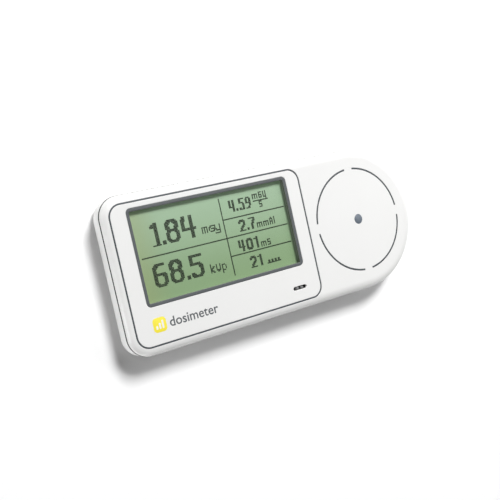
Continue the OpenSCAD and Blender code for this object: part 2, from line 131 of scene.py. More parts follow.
class Finish:
    """A material as it is built up from nodes, ending in one Principled surface."""

    def __init__(self, name):
        self.material = bpy.data.materials.new(name)
        self.material.use_nodes = True
        self.tree = self.material.node_tree
        self.shader = self.tree.nodes["Principled BSDF"]

    def node(self, kind, settings=None, sockets=None, out=0):
        """Any node: its type, its settings, then the value or wire of each socket. A ramp's stops are
        the setting "stops", as (place, colour) pairs."""
        made = self.tree.nodes.new(kind)
        for key, value in (settings or {}).items():
            if key == "stops":
                ramp = made.color_ramp.elements
                while len(ramp) < len(value):
                    ramp.new(1.0)
                for element, (place, colour) in zip(ramp, value):
                    element.position, element.color = place, (*colour, 1.0)
            else:
                setattr(made, key, value)
        self.plug(made, sockets or {})
        return Wire(self, made.outputs[out])

    def plug(self, made, sockets):
        """Sets or links a node's sockets, found by number, identifier or name."""
        for key, value in sockets.items():
            named = [s for s in made.inputs if key in (s.identifier, s.name)]
            socket = made.inputs[key] if isinstance(key, int) else named[0]
            if isinstance(value, Wire):
                self.tree.links.new(value.socket, socket)
            elif hasattr(socket.default_value, "__len__") and len(value) < len(socket.default_value):
                socket.default_value = (*value, 1.0)
            else:
                socket.default_value = value

    def place(self):
        """The point's place on the object, in metres."""
        return self.node("ShaderNodeTexCoord", out="Object")

    def axes(self):
        """The point's X, Y and Z on the object, in millimetres, as three wires."""
        split = self.node("ShaderNodeSeparateXYZ", sockets={"Vector": self.place()}).socket.node
        return [Wire(self, s) * 1000.0 for s in split.outputs]

    def grain(self, size, detail=2.0, squeeze=(1.0, 1.0, 1.0)):
        """Cloudy noise from 0 to 1 whose features are about size millimetres across."""
        spread = self.node(
            "ShaderNodeMapping", {"vector_type": "POINT"}, {"Vector": self.place(), "Scale": squeeze}
        )
        return self.node("ShaderNodeTexNoise", None,
                         {"Vector": spread, "Scale": 1.0 / (size * mm), "Detail": detail})

    def mix(self, factor, a, b):
        """Colour a turning into colour b as factor goes from 0 to 1."""
        return self.node(
            "ShaderNodeMix", {"data_type": "RGBA"}, {"Factor_Float": factor, "A_Color": a, "B_Color": b},
            out=2
        )

    def bump(self, height, depth, under=None):
        """A Bump normal whose full height is depth millimetres."""
        sockets = {"Height": height, "Distance": depth * mm, "Strength": 1.0}
        if under is not None:
            sockets["Normal"] = under
        return self.node("ShaderNodeBump", None, sockets)

    def surface(self, **sockets):
        """Sets the Principled shader's sockets, with underscores for the spaces in their names."""
        self.plug(self.shader, {key.replace("_", " "): value for key, value in sockets.items()})
        return self.material


def floor_finish():
    """Matt white paper sheet with a very faint tooth."""
    f = Finish("white_floor")
    tooth = f.grain(0.9, 3.0)
    return f.surface(
        Base_Color=f.mix(tooth, (0.93, 0.93, 0.93), (0.95, 0.95, 0.95)), Roughness=0.9,
        Normal=f.bump(tooth, 0.01)
    )


def sheet_of(name, half, height):
    """A flat square of the given half width at a height, as four points and one face."""
    made = bpy.data.meshes.new(name)
    corners = half * np.array([[-1, -1], [1, -1], [1, 1], [-1, 1]], float)
    made.from_pydata(np.c_[corners, np.full(4, height)].tolist(), [], [[0, 1, 2, 3]])
    piece = bpy.data.objects.new(name, made)
    bpy.context.scene.collection.objects.link(piece)
    return piece


floor = sheet_of("floor", 3.0, 0.0)
floor.data.materials.append(floor_finish())


# ---------------------------------------------------------------- rear case
# The lower half of the case is a shallow tray moulded in satin white plastic, 6.4 mm deep with 1.4 mm
# walls and a rounded back edge. Five screws go up through it, and the battery cap, the feet and the
# label are let into its back.

low, high = (np.array(corner) / mm for corner in cad_box)
length, width, face_z = high - low
left_x, end_x = -length / 2, length / 2 - width / 2
corner_r, wall, back_z, floor_z, seam_z, seal_t = 7.5, 1.4, 0.5, 1.7, 6.6, 0.8
rear_round = 2.0

# An outline is a list of arcs, anticlockwise: centre x, centre y, radius, first and last angle, steps.
body_arcs = [
    (end_x, 0.0, width / 2, -90, 90, 128),
    (left_x + corner_r, width / 2 - corner_r, corner_r, 90, 180, 32),
    (left_x + corner_r, corner_r - width / 2, corner_r, 180, 270, 32),
]


def round_rect(cx, cy, l, w, r, steps=16):
    """The four corner arcs of a rectangle with round corners, centred at (cx, cy)."""
    return [
        (cx + sx * (l / 2 - r), cy + sy * (w / 2 - r), r, start, start + 90, steps)
        for sx, sy, start in ((1, -1, -90), (1, 1, 0), (-1, 1, 90), (-1, -1, 180))
    ]


def stadium(cx, cy, l, w, steps=20):
    """The two half circles of a bar with round ends, lying along X."""
    return [(cx + (l - w) / 2, cy, w / 2, -90, 90, steps), (cx - (l - w) / 2, cy, w / 2, 90, 270, steps)]


def circle(cx, cy, r, steps=96):
    """One full turn, less the last step, which the outline closes itself."""
    return [(cx, cy, r, 0, 360 - 360 / steps, steps - 1)]


def outline(arcs, inset=0.0):
    """The points of a closed outline: each arc's centre plus (radius - inset) times (cos a, sin a), for
    angles a evenly spaced from its start to its end. Straight runs join one arc to the next."""
    rings = []
    for cx, cy, r, start, end, steps in arcs:
        a = np.radians(np.linspace(start, end, steps + 1))
        rings.append(np.c_[cx + (r - inset) * np.cos(a), cy + (r - inset) * np.sin(a)])
    return np.concatenate(rings)


def piece_from(name, points, faces):
    """A new mesh object from points in millimetres and lists of point numbers."""
    made = bpy.data.meshes.new(name)
    made.from_pydata((np.asarray(points, float) * mm).tolist(), [], faces)
    made.validate()
    piece = bpy.data.objects.new(name, made)
    bpy.context.scene.collection.objects.link(piece)
    return piece


def rings_to_piece(name, rings, closed):
    """Rings of equal length joined by four-sided faces. A closed stack also joins its last ring to its
    first; an open one has each end shut with one flat face."""
    rings = np.asarray(rings, float)
    count, around = rings.shape[:2]
    number = np.arange(count * around).reshape(count, around)
    upper = np.roll(number, -1, 0) if closed else number[1:]
    lower = number if closed else number[:-1]
    quads = np.stack([lower, np.roll(lower, -1, 1), np.roll(upper, -1, 1), upper], -1).reshape(-1, 4)
    ends = [] if closed else [number[0][::-1].tolist(), number[-1].tolist()]
    return piece_from(name, rings.reshape(-1, 3), quads.tolist() + ends)


def loft(name, arcs, rows, closed=False, follow=None):
    """An outline carried along a profile. Each row is (inset, height): the outline moved in by inset, at
    that height above zero, or above follow(x, y) where a third value in the row is true."""
    rings = []
    for inset, height, *follows in rows:
        xy = outline(arcs, inset)
        z = np.full(len(xy), float(height))
        if follows and follows[0]:
            z = z + follow(xy[:, 0], xy[:, 1])
        rings.append(np.c_[xy, z])
    return rings_to_piece(name, rings, closed)


def curve_rows(inset, height, across, up, start, end, steps):
    """Profile rows along part of an ellipse: centre (inset, height), half axes across and up, and the
    angle going from start to end, where 0 points outwards and 90 up."""
    a = np.radians(np.linspace(start, end, steps + 1))
    return [(inset - across * c, height + up * s) for c, s in zip(np.cos(a), np.sin(a))]


def arc_band(name, cx, cy, r, half_w, start, end, rows, steps=40):
    """Part of a flat ring as one solid. Each row is (widening, height): the band's outline grown on all
    sides by the widening. Points run out along r + half_w and back along r - half_w."""
    rings = []
    for grow, height in rows:
        more = degrees(grow / r)
        a = np.radians(np.linspace(start - more, end + more, steps + 1))
        out, back = r + half_w + grow, r - half_w - grow
        x = np.r_[cx + out * np.cos(a), cx + back * np.cos(a[::-1])]
        y = np.r_[cy + out * np.sin(a), cy + back * np.sin(a[::-1])]
        rings.append(np.c_[x, y, np.full(len(x), height)])
    return rings_to_piece(name, rings, False)


def carve(piece, *cutters):
    """Cuts each cutter's solid out of the piece and removes the cutter."""
    for cutter in cutters:
        cut = piece.modifiers.new("cut", "BOOLEAN")
        cut.operation, cut.solver, cut.object = "DIFFERENCE", "EXACT", cutter
        now = piece.evaluated_get(bpy.context.evaluated_depsgraph_get())
        piece.data = bpy.data.meshes.new_from_object(now)
        piece.data.name = piece.name
        piece.modifiers.clear()
        bpy.data.objects.remove(cutter)
    return piece


def crisp(piece, angle=24):
    """Smooth shading that breaks at edges sharper than the angle."""
    piece.data.shade_smooth()
    piece.data.set_sharp_from_angle(angle=radians(angle))
    return piece


def fit(piece, finish, body, slot, *nodes):
    """Gives a piece its material and its body, and hides the CAD nodes it stands for. The slot is not used.
    """
    piece.data.materials.clear()
    piece.data.materials.append(finish)
    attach(piece, body)
    if nodes:
        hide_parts(*nodes)
    return piece


def white_plastic():
    """Satin white plastic: a fine spark-eroded grain, faint cloudiness, and painted shade that greys the
    rolled edges in patches, where the surface is also a little smoother."""
    f = Finish("satin_white_plastic")
    cloud, grain, haze = f.grain(14.0, 2.0), f.grain(0.16, 2.0), f.grain(2.2, 4.0)
    up = f.node("ShaderNodeNewGeometry", out="Normal")
    tilt = f.node("ShaderNodeSeparateXYZ", None, {"Vector": up}, out="Z").math("ABSOLUTE")
    # Painted shade: where the surface tilts over the rolled edges it is darkened towards grey, in patches,
    # and made a little smoother.
    edge = (tilt * (1 - tilt) * 4.0).step(0.1, 1.0)
    tone = f.mix(cloud, (0.752, 0.752, 0.742), (0.772, 0.772, 0.765))
    tone_with_edge_shade = f.mix(edge * haze.step(0.45, 0.8) * 0.5, tone, (0.68, 0.68, 0.665))
    return f.surface(
        Base_Color=tone_with_edge_shade,
        Roughness=0.40 + 0.10 * haze - 0.08 * edge,
        Normal=f.bump(grain, 0.004),
        Specular_IOR_Level=0.45,
    )


rear_case = loft(
    "rear_case",
    body_arcs,
    curve_rows(rear_round, back_z + rear_round, rear_round, rear_round, -90, 0, 14)
    + curve_rows(0.08, seam_z - 0.08, 0.08, 0.08, 0, 90, 4)
    + [(wall, seam_z), (wall, floor_z)],
)


def round_cutter(x, y, rows):
    """A turned cutter: each row is (radius, height)."""
    top = max(r for r, _ in rows) + 1.0
    return loft("cutter", circle(x, y, top), [(top - r, z) for r, z in rows])


shell_screws_at = [(-61.25, 22.5), (-61.25, -22.5), (15.5, 23.2), (15.5, -23.2), (62.0, 0.0)]
feet_at = [(-53.5, 19.5), (-53.5, -19.5), (44.0, 17.5), (44.0, -17.5)]
cell_x = -20.0
lip = 0.12
for x, y in shell_screws_at:
    carve(rear_case, round_cutter(x, y, [(2.25, 0.0), (2.25, back_z), (2.1, back_z + 0.1), (1.1, 1.65),
                                         (1.1, 9.0)]))
for x, y in feet_at:
    carve(rear_case, round_cutter(x, y, [(3.35, 0.0), (3.35, back_z), (3.25, back_z + 0.1), (3.25, 0.8)]))
carve(
    rear_case,
    round_cutter(cell_x, 0.0, [(14.16, 0.0), (14.16, back_z), (14.0, back_z + lip), (14.0, 1.1),
                               (12.0, 1.1), (12.0, 3.0)]),
    loft("cutter", round_rect(22.0, 0.0, 34.1, 18.1, 1.55),
         [(-0.1, 0.0), (-0.1, back_z), (0.0, 0.6), (0.0, 0.63)]),
)

# Two moulded marks beside the cap: a spot where it is locked and a small ring where it comes out.
mark_r, cap_swing = 15.6, 60.0
open_x, open_y = (cell_x + mark_r * np.cos(radians(cap_swing)), -mark_r * np.sin(radians(cap_swing)))
carve(
    rear_case,
    round_cutter(cell_x + mark_r, 0.0, [(0.62, 0.0), (0.62, back_z), (0.5, back_z + 0.15)]),
    *(arc_band("cutter", open_x, open_y, 0.6, 0.15, a, a + 180, [(0.0, 0.3), (0.0, back_z + 0.15)],
               12) for a in (0, 180)),
)

# The button's hole goes through the long wall: an outline drawn flat, then stood up against the wall.
button_x, button_z, button_l, button_h = -38.0, 3.65, 9.0, 2.4


def stood_up(arcs, rows, name="cutter"):
    """A loft drawn flat about (x, z) and turned to face +Y: its height runs along Y."""
    made = loft(name, arcs, rows)
    points = np.array([v.co for v in made.data.vertices]) / mm
    turned = np.c_[points[:, 0], points[:, 2], points[:, 1]] * mm
    made.data.vertices.foreach_set("co", turned.ravel())
    made.data.flip_normals()
    return made


hole_arcs = stadium(button_x, button_z, button_l + 0.2, button_h + 0.2)
wall_y = width / 2
carve(rear_case, stood_up(hole_arcs, [(0.0, wall_y - 3.0), (0.0, wall_y - lip), (-lip, wall_y),
                                      (-lip, wall_y + 1.0)]))
fit(crisp(rear_case), white_plastic(), "case", "case_plastic", "rear_shell")



# ---------------------------------------------------------------- front case
# The upper half is moulded in the same white plastic. Its face is flat and rolls over into the sides
# in a soft elliptical edge. The face has a sunk bed for the inset panel, an opening over the display
# and shallow grooves that take the paint of the detector mark.

edge_w, edge_h, plate_z, bed_z = 3.4, 2.3, 8.4, 9.0
panel_x, panel_l, panel_w, panel_r, line_w = -24.65, 77.5, 49.0, 4.5, 0.55
window = (-24.52, 5.48, 65.7, 34.0, 1.7)
slot_x, slot_y, slot_l, slot_w = 4.5, -19.43, 6.0, 1.35
ring_r, ring_line, ring_gap, dot_r = 20.0, 0.7, 3.8, 1.95
front_z = seam_z + seal_t


def edge_distance(x, y):
    """How far points of the face lie in from the body's outline: from the half circle beyond end_x,
    from a corner's arc near the square end, and from the nearest straight side elsewhere."""
    side = width / 2 - np.abs(y)
    round_end = width / 2 - np.hypot(x - end_x, y)
    corner = corner_r - np.hypot(x - left_x - corner_r, corner_r - side)
    straight = np.minimum(side, x - left_x)
    in_corner = (x < left_x + corner_r) & (side < corner_r)
    return np.where(x > end_x, round_end, np.where(in_corner, corner, straight))


def face_height(x, y):
    """Height of the face: flat, and falling by edge_h over the last edge_w along a quarter ellipse,
    z = top - edge_h (1 - sqrt(1 - (1 - d / edge_w)^2)) at a distance d from the outline."""
    across = 1.0 - np.clip(edge_distance(x, y) / edge_w, 0.0, 1.0)
    return face_z - edge_h * (1.0 - np.sqrt(1.0 - across**2))


front_case = loft(
    "front_case",
    body_arcs,
    [(wall, plate_z), (wall, front_z), (0.08, front_z)]
    + curve_rows(0.08, front_z + 0.08, 0.08, 0.08, -90, 0, 4)
    + curve_rows(edge_w, face_z - edge_h, edge_w, edge_h, 0, 90, 18)
    + [(edge_w + 0.5, face_z)],
)
ring_quarters = [45 + 90 * k for k in range(4)]
half_turn = 45 - degrees(ring_gap / 2 / ring_r)
groove = [(0.0, face_z - 0.1), (0.0, face_z - 0.03), (0.05, face_z + 0.02), (0.05, face_z + 0.5)]
carve(
    front_case,
    loft("cutter", round_rect(panel_x, 0.0, panel_l + line_w, panel_w + line_w, panel_r + line_w / 2, 24),
         [(0.0, bed_z), (0.0, face_z - 0.18), (-0.1, face_z - 0.04), (-0.3, face_z + 0.08),
          (-0.3, face_z + 1.0)]),
    loft("cutter", round_rect(*window), [(0.0, 7.0), (0.0, face_z + 1.0)]),
    loft("cutter", stadium(slot_x, slot_y, slot_l + 1.0, slot_w + 1.0), [(0.0, 7.0), (0.0, face_z + 1.0)]),
    loft("cutter", circle(end_x, 0.0, dot_r), [(0.0, groove[0][1]), (0.0, groove[1][1]),
                                               (-0.05, groove[2][1]), (-0.05, face_z + 0.5)]),
    *(arc_band("cutter", end_x, 0.0, ring_r, ring_line / 2, q - half_turn, q + half_turn,
               groove) for q in ring_quarters),
)
fit(crisp(front_case), white_plastic(), "case", "case_plastic", "front_shell")


# ---------------------------------------------------------------- seam gasket
# A thin strip of dark rubber lies between the two halves. Its rounded lip stands a tenth of a
# millimetre or so out of the joint and reads as a fine dark line right round the side of the case.

def rubber(name, light, dark, roughness=0.62):
    """Moulded rubber: a dusty bloom over a dark body, with a fine matt tooth."""
    f = Finish(name)
    dust, tooth = f.grain(1.6, 4.0), f.grain(0.09, 2.0)
    return f.surface(
        Base_Color=f.mix(dust.step(0.35, 0.75), dark, light),
        Roughness=roughness + 0.2 * dust,
        Normal=f.bump(tooth, 0.006),
        Specular_IOR_Level=0.35,
    )


seam_gasket = loft(
    "seam_gasket",
    body_arcs,
    [(wall - 0.15, seam_z), (0.06, seam_z)]
    + curve_rows(0.06, seam_z + seal_t / 2, 0.21, seal_t / 2, -78, 78, 8)
    + [(0.06, front_z), (wall - 0.15, front_z)],
    closed=True,
)
fit(crisp(seam_gasket), rubber("seam_rubber", (0.035, 0.037, 0.04), (0.014, 0.015, 0.016)), "case",
    "dark_seal", "shell_seal")


# ---------------------------------------------------------------- inset panel
# The display panel is a separate white plate glued into its bed, level with the face round it and
# following the face where that begins to roll over. A line of slate-coloured sealant fills the joint.

inset_panel = loft(
    "inset_panel",
    round_rect(panel_x, 0.0, panel_l - line_w, panel_w - line_w, panel_r - line_w / 2, 24),
    [(0.0, bed_z), (0.0, face_z - 0.22)]
    + [(i, z, True) for i, z in curve_rows(0.12, -0.14, 0.12, 0.12, 0, 90, 5)]
    + [(0.6, -0.02, True), (0.62, face_z - 0.02)],
    follow=face_height,
)
carve(
    inset_panel,
    loft("cutter", round_rect(*window), [(0.0, 8.0), (0.0, face_z - 0.12), (-0.12, face_z),
                                         (-0.12, face_z + 1.0)]),
    loft("cutter", stadium(slot_x, slot_y, slot_l, slot_w),
         [(0.0, 8.0), (0.0, face_z - 0.2), (-0.06, face_z - 0.08), (-0.2, face_z), (-0.2, face_z + 1.0)]),
)
fit(crisp(inset_panel), white_plastic(), "case", "case_plastic", "front_panel")


def sealant():
    """Slate-coloured sealant, wiped level, with slight unevenness along its run."""
    f = Finish("slate_sealant")
    smear, tooth = f.grain(3.0, 3.0), f.grain(0.12, 2.0)
    return f.surface(
        Base_Color=f.mix(smear, (0.045, 0.053, 0.064), (0.075, 0.085, 0.096)),
        Roughness=0.42 + 0.2 * smear,
        Normal=f.bump(tooth, 0.004),
    )


panel_line = loft(
    "panel_line",
    round_rect(panel_x, 0.0, panel_l + line_w - 0.02, panel_w + line_w - 0.02, panel_r + line_w / 2, 24),
    [(line_w - 0.04, bed_z), (0.0, bed_z), (0.0, -0.07, True), (0.07, -0.05, True),
     (line_w - 0.11, -0.05, True),
     (line_w - 0.04, -0.07, True)],
    closed=True,
    follow=face_height,
)
fit(crisp(panel_line, 60), sealant(), "case", "dark_seal", "panel_seal")


# ---------------------------------------------------------------- window
# A dark grey moulded frame lines the opening down to the display, and a thin clear acrylic window is
# held inside it, a little below its rim.

def frame_plastic():
    """Grey moulded frame with a fine matt texture; its steep inner walls are painted a lighter greenish grey
    than its rim, as painted light and a painted reflection of the display.
    """
    f = Finish("window_frame_plastic")
    cloud, tooth = f.grain(4.0, 3.0), f.grain(0.11, 2.0)
    facing = f.node("ShaderNodeNewGeometry", out="Normal")
    rim = f.node("ShaderNodeSeparateXYZ", None, {"Vector": facing}, out="Z").step(0.3, 0.7)
    # Painted light: faces that stand steep, the inner walls, get a lighter greenish grey, as if lit and
    # reflecting the display's green.
    painted_wall_light = f.mix(cloud, (0.24, 0.27, 0.23), (0.30, 0.33, 0.29))
    return f.surface(
        Base_Color=f.mix(rim, painted_wall_light, f.mix(cloud, (0.070, 0.078, 0.084), (0.098, 0.107, 0.113))),
        Roughness=0.50 + 0.15 * cloud,
        Normal=f.bump(tooth, 0.005),
    )


frame_w, frame_top, lcd_top = 1.2, 9.88, 8.0
window_frame = loft(
    "display_frame",
    round_rect(*window),
    [(frame_w, lcd_top), (0.03, lcd_top), (0.03, frame_top - 0.1)]
    + curve_rows(0.13, frame_top - 0.1, 0.1, 0.1, 0, 90, 4)[1:]
    + [(frame_w - i, z) for i, z in curve_rows(0.15, frame_top - 0.15, 0.15, 0.15, 90, 0, 5)],
    closed=True,
)
fit(crisp(window_frame, 40), frame_plastic(), "case", "dark_frame", "window_frame")


def clear_acrylic():
    """Clear window: almost nothing but its gloss, which a Fresnel term brings up at shallow angles, and
    a few fine wiping marks."""
    f = Finish("clear_acrylic")
    wipe = f.grain(0.5, 3.0, squeeze=(0.06, 1.0, 1.0)).step(0.62, 0.9)
    gloss = f.node("ShaderNodeFresnel", None, {"IOR": 1.45})
    return f.surface(
        Base_Color=f.mix(wipe, (0.02, 0.025, 0.02), (0.3, 0.3, 0.3)),
        Roughness=0.05 + 0.1 * wipe,
        Alpha=0.5 * gloss + 0.01 * wipe,
        Normal=f.bump(f.grain(9.0, 1.0), 0.01),
    )


lens = loft(
    "clear_window",
    round_rect(*window),
    [(frame_w + 0.02, 9.1)] + curve_rows(frame_w + 0.1, 9.62, 0.08, 0.08, 0, 90, 4) + [(frame_w + 0.3, 9.7)],
)
fit(crisp(lens, 40), clear_acrylic(), "case", "clear_window", "window_lens")


# ---------------------------------------------------------------- display
# A liquid crystal display of 128 by 64 dots. Its front film is grey-green, carries a faint painted glow that
# lifts the shade on it and just shows the unlit dots, and each driven dot is a small dark square. The page
# shows dose, tube voltage, dose rate, filtration, time and number of pulses, divided by thin rules.

pitch, columns, rows_up = 0.4766, 128, 64
dots_x, dots_y = -54.6, -10.2


def display_film():
    """Front film: a grey-green with painted light, lighter towards the upper side and darker and yellower
    towards the lower; yellower and a little darker towards the square end; the grid of unlit dots, a soft
    sheen, and a faint painted glow that lifts its shade."""
    f = Finish("display_film")
    x, y, _ = f.axes()
    # Painted light: the film is lighter towards its upper side and darker towards the lower, as light falls
    # from above.
    upward = (y - (-11.0)) / 33.0
    tone = f.mix(upward.step(0.0, 1.0), (0.305, 0.465, 0.236), (0.475, 0.665, 0.462))
    warm = (1 - ((x + 58.0) / 14.0).step(0.0, 1.0)) * 0.5
    tone = f.mix(warm, tone, (0.42, 0.455, 0.19))
    across = ((x - dots_x) / pitch).math("FRACT").math("SUBTRACT", 0.5).math("ABSOLUTE")
    up = ((y - dots_y) / pitch).math("FRACT").math("SUBTRACT", 0.5).math("ABSOLUTE")
    gap = across.math("MAXIMUM", up).step(0.43, 0.47)
    # Painted light: a faint green glow over the whole film that lifts the shade the frame casts on it.
    painted_glow = f.mix(0.9 + 0.1 * f.grain(6.0, 2.0), (0.0, 0.0, 0.0), (0.050, 0.072, 0.045))
    return f.surface(
        Base_Color=f.mix((1 - gap) * 0.10, tone, (0.16, 0.22, 0.13)),
        Emission_Color=painted_glow,
        Emission_Strength=1.0,
        Roughness=0.42 + 0.1 * f.grain(3.0, 3.0),
        Normal=f.bump(f.grain(0.2, 2.0), 0.002),
    )


film = loft(
    "display_film",
    round_rect(window[0], window[1], window[2] + 0.6, window[3] + 0.6, 0.3, 4),
    [(0.0, lcd_top - 0.15), (0.0, lcd_top - 0.03), (0.03, lcd_top), (0.3, lcd_top)],
)
fit(crisp(film), display_film(), "case", "display_green", "lcd_polariser")

# Each character is a few strokes in a unit box, from (0, 0) at lower left to (1, 1) at upper right.
strokes = {
    "0": ["0.3,0 0.7,0 1,0.2 1,0.8 0.7,1 0.3,1 0,0.8 0,0.2 0.3,0"],
    "1": ["0.1,0.84 0.55,1 0.55,0"],
    "2": ["0,0.8 0.25,1 0.75,1 1,0.82 1,0.6 0,0 1,0"],
    "4": ["0.08,1 0,0.42 1.1,0.42", "0.86,1 0.86,0"],
    "5": ["0.95,1 0.05,1 0.05,0.6 0.75,0.6 1,0.46 1,0.14 0.78,0 0.2,0 0,0.12"],
    "6": ["0.9,1 0.28,1 0,0.86 0,0.14 0.25,0 0.75,0 1,0.14 1,0.42 0.8,0.55 0.05,0.55"],
    "7": ["0,1 1,1 1,0.85 0.5,0.4 0.4,0"],
    "8": ["0.25,0 0.75,0 1,0.14 1,0.4 0.76,0.54 0.24,0.54 0,0.4 0,0.14 0.25,0",
          "0.24,0.54 0.06,0.66 0.06,0.87 0.28,1 0.72,1 0.94,0.87 0.94,0.66 0.76,0.54"],
    "9": ["0.1,0 0.5,0 1,0.3 1,0.85 0.75,1 0.25,1 0,0.85 0,0.58 0.2,0.44 0.95,0.44"],
    ".": ["0,0 0,0"],
    "m": ["0,0 0,1 1,1 1,0", "0.5,1 0.5,0"],
    "G": ["1,1 0.3,1 0,0.75 0,0.25 0.3,0 1,0 1,0.5 0.6,0.5"],
    "y": ["0,1 0,0.3 0.3,0 1,0", "1,1 1,-0.5 0,-0.5"],
    "k": ["0,0 0,1.4", "1,1 0,0.45 1,0"],
    "V": ["0,1.3 0,0.4 0.5,0 1,0.4 1,1.3"],
    "p": ["0,-0.5 0,1 0.7,1 1,0.7 1,0.3 0.7,0 0,0"],
    "A": ["0,0 0,0.7 0.5,1.3 1,0.7 1,0", "0,0.4 1,0.4"],
    "l": ["0,0 0,1.3"],
    "s": ["0,0 1,0 1,0.5 0,0.5 0,1 1,1"],
}
lit = np.zeros((rows_up, columns), bool)
dot_x, dot_y = np.meshgrid(np.arange(columns) + 0.5, np.arange(rows_up) + 0.5)


def draw(points, pen_x, pen_y):
    """Lights the dots that a rectangular pen passes over as it follows a line from point to point."""
    points = np.asarray(points, float)
    for start, end in zip(points[:-1], points[1:]):
        steps = 2 + int(3 * np.abs(end - start).max())
        for x, y in start + np.linspace(0, 1, steps)[:, None] * (end - start):
            dx, dy = dot_x - x, dot_y - y
            lit[(dx >= -pen_x / 2) & (dx < pen_x / 2) & (dy >= -pen_y / 2) & (dy < pen_y / 2)] = True


def write(text, lefts, base, w, h, pen_x, pen_y):
    """Writes characters in boxes w by h dots, each with its own left edge, standing on a base line."""
    for letter, left in zip(text, lefts):
        for stroke in strokes[letter]:
            unit = np.array([pair.split(",") for pair in stroke.split()], float)
            high = pen_x if letter == "." else pen_y
            size = np.array([w - pen_x, h - high])
            draw(unit * size + (left + pen_x / 2, base + high / 2), pen_x, high)


def rule(x0, y0, x1, y1):
    """A thin rule, one dot wide, between two dots."""
    draw([(x0 + 0.5, y0 + 0.5), (x1 + 0.5, y1 + 0.5)], 1, 1)


write("1.84", (10, 19, 23, 36), 38, 11, 17, 3, 2)
rule(11, 38, 17, 38)
write("mGy", (52, 58, 63), 39, 5, 5, 1, 1)
write("68.5", (6, 19, 32, 36), 9, 11, 17, 3, 2)
write("kVp", (52, 57, 62), 9, 4, 5, 1, 1)
write("4.59", (79, 85, 88, 94), 50, 5, 9, 2, 1)
write("m", (101,), 56, 5, 4, 1, 1)
write("Gy", (107, 111), 56, 3, 5, 1, 1)
write("s", (106,), 49, 3, 5, 1, 1)
write("2.7", (84, 91, 93), 34, 6, 9, 2, 1)
write("mm", (100, 106), 34, 5, 4, 1, 1)
write("Al", (112, 116), 34, 3, 5, 1, 1)
write("401", (80, 87, 94), 19, 6, 9, 2, 1)
write("m", (100,), 19, 5, 4, 1, 1)
write("s", (106,), 19, 3, 5, 1, 1)
write("21", (87, 94), 5, 6, 9, 2, 1)
for pulse in range(4):
    draw([(104 + 3 * pulse, 6), (104 + 3 * pulse, 8)], 2, 1)
rule(102, 5, 114, 5)
rule(0, 31, 127, 31)
rule(71, 3, 71, 61)
rule(101, 54, 114, 54)
rule(72, 45, 127, 45)
rule(72, 17, 127, 17)


def lit_dots(name, side, z0, z1):
    """The driven dots as low square tiles: a top and four sides for each, from z0 to z1."""
    up, across = np.nonzero(lit)
    centre = np.c_[dots_x + (across + 0.5) * pitch, dots_y + (up + 0.5) * pitch]
    corner = side / 2 * np.array([[-1, -1], [1, -1], [1, 1], [-1, 1]], float)
    xy = centre[:, None, :] + corner
    low = np.concatenate([xy, np.full((len(centre), 4, 1), z0)], 2)
    high = np.concatenate([xy, np.full((len(centre), 4, 1), z1)], 2)
    points = np.concatenate([low, high], 1).reshape(-1, 3)
    one = np.array([[4, 5, 6, 7], [3, 2, 1, 0], [0, 1, 5, 4], [1, 2, 6, 5], [2, 3, 7, 6], [3, 0, 4, 7]])
    faces = (one + 8 * np.arange(len(centre))[:, None, None]).reshape(-1, 4)
    return piece_from(name, points, faces.tolist())


def driven_crystal():
    """A driven dot: nearly black green, a little uneven from dot to dot."""
    f = Finish("driven_crystal")
    drift = f.grain(2.5, 3.0)
    return f.surface(
        Base_Color=f.mix(drift, (0.016, 0.026, 0.014), (0.028, 0.042, 0.024)),
        Roughness=0.45 + 0.1 * drift,
        Normal=f.bump(f.grain(0.2, 2.0), 0.002),
    )


fit(lit_dots("display_dots", pitch * 0.93, lcd_top - 0.005, lcd_top + 0.012), driven_crystal(), "case",
    "display_green")



# ---------------------------------------------------------------- detector mark
# A ring in four quarters and a round spot in its middle show where the sensor sits. Both are slate
# paint wiped into shallow grooves moulded in the face.

def groove_paint(name, low, high):
    """Slate paint in a groove: matt, thinner and lighter in patches, with a faint brushed unevenness."""
    f = Finish(name)
    patch, brushed = f.grain(1.3, 3.0), f.grain(0.12, 2.0)
    return f.surface(
        Base_Color=f.mix(patch.step(0.3, 0.8), low, high),
        Roughness=0.50 + 0.15 * patch,
        Normal=f.bump(brushed, 0.004),
    )


def wiped(outer, drop=0.05):
    """Profile of a paint fill: flat, a little below the face, and rounded off where it meets the groove."""
    return [(outer, face_z - 0.12), (outer, face_z - drop - 0.03), (outer - 0.03, face_z - drop)]


for k, quarter in enumerate(ring_quarters):
    arc = arc_band(f"ring_quarter_{k + 1}", end_x, 0.0, ring_r, ring_line / 2, quarter - half_turn,
                   quarter + half_turn,
                   wiped(-0.01))
    fit(crisp(arc, 60), groove_paint("ring_paint", (0.040, 0.048, 0.056), (0.066, 0.074, 0.083)), "case",
        "print_ink",
        "target_ring")
spot = loft("centre_spot", circle(end_x, 0.0, dot_r), [(-i, z) for i, z in wiped(-0.01)])
fit(crisp(spot, 60), groove_paint("spot_paint", (0.115, 0.142, 0.178), (0.150, 0.178, 0.212)), "case",
    "print_ink",
    "target_dot")


# ---------------------------------------------------------------- sounder slot
# The slot in the panel shows the sounder's grille: a dark plate a little way down with three holes
# towards the sounder, and two rounded grey ribs that stand between them.

grille = loft(
    "grille_plate",
    stadium(slot_x, slot_y, slot_l + 0.7, slot_w + 0.7),
    [(0.0, plate_z), (0.0, bed_z - 0.06), (0.05, bed_z - 0.01)],
)
for k in (-1, 0, 1):
    carve(grille, round_cutter(slot_x + k * slot_l / 3, slot_y,
                               [(0.35, 7.5), (0.35, bed_z - 0.1), (0.45, bed_z), (0.45, 9.8)]))
fit(crisp(grille), rubber("grille_black", (0.03, 0.03, 0.032), (0.012, 0.012, 0.013)), "case", "grille_grey",
    "sounder_grille")


